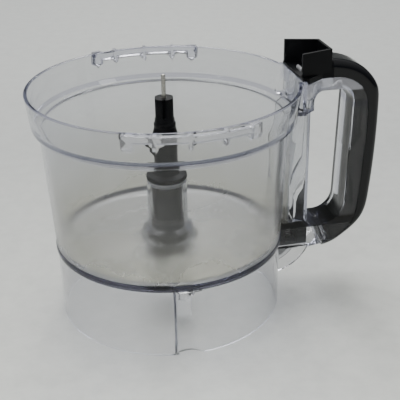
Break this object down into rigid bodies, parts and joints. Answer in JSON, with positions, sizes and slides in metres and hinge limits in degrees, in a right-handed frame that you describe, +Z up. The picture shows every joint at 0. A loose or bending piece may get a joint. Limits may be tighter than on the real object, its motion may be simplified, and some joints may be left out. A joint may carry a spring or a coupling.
{
  "type": "food processor work bowl",
  "caption": "Clear food processor bowl with a D handle, lid interlock push rod and captive black drive stem.",
  "frame": {"origin": "on the bowl's axis, in the plane that the skirt stands on", "axes": "+Z up along the bowl's axis, +X towards the handle"},
  "size_m": [0.2583, 0.2054, 0.1923],
  "materials": {
    "clear_plastic": "clear moulded plastic, hazed with use inside",
    "gloss_black": "polished black moulding",
    "satin_black": "satin black moulding",
    "natural_plastic": "translucent natural moulding",
    "bush_plastic": "dark bearing plastic",
    "steel": "turned stainless steel",
    "spring_steel": "drawn spring wire",
    "seal_rubber": "moulded rubber"
  },
  "bodies": {
    "bowl": {"bowl": "clear_plastic", "handle_frame": "clear_plastic", "grip_cover": "gloss_black", "interlock_pocket": "satin_black", "pocket_screws": "steel", "grip_screw": "steel", "arm_insert": "satin_black", "spring_seat": "steel", "return_spring": "spring_steel", "upper_bush": "natural_plastic", "lower_bush": "bush_plastic", "shaft_seal": "seal_rubber"},
    "push_rod": {"push_rod": "natural_plastic", "rod_foot": "satin_black"},
    "stem": {"drive_stem": "satin_black", "stem_pin": "steel", "drive_coupling": "satin_black", "coupling_insert": "steel", "coupling_screw": "steel", "thrust_washer": "bush_plastic"}
  },
  "joints": [
    {"name": "stem_spin", "type": "hinge", "parent": "bowl", "child": "stem", "pos_m": [0, 0, 0.1], "axis": [0, 0, 1], "continuous": true},
    {"name": "push_rod_slide", "type": "slide", "parent": "bowl", "child": "push_rod", "axis": [0, 0, -1], "range_m": [0, 0.006], "stiffness_N_per_m": 250, "springref_m": -0.004, "deforming": ["return_spring"]}
  ]
}
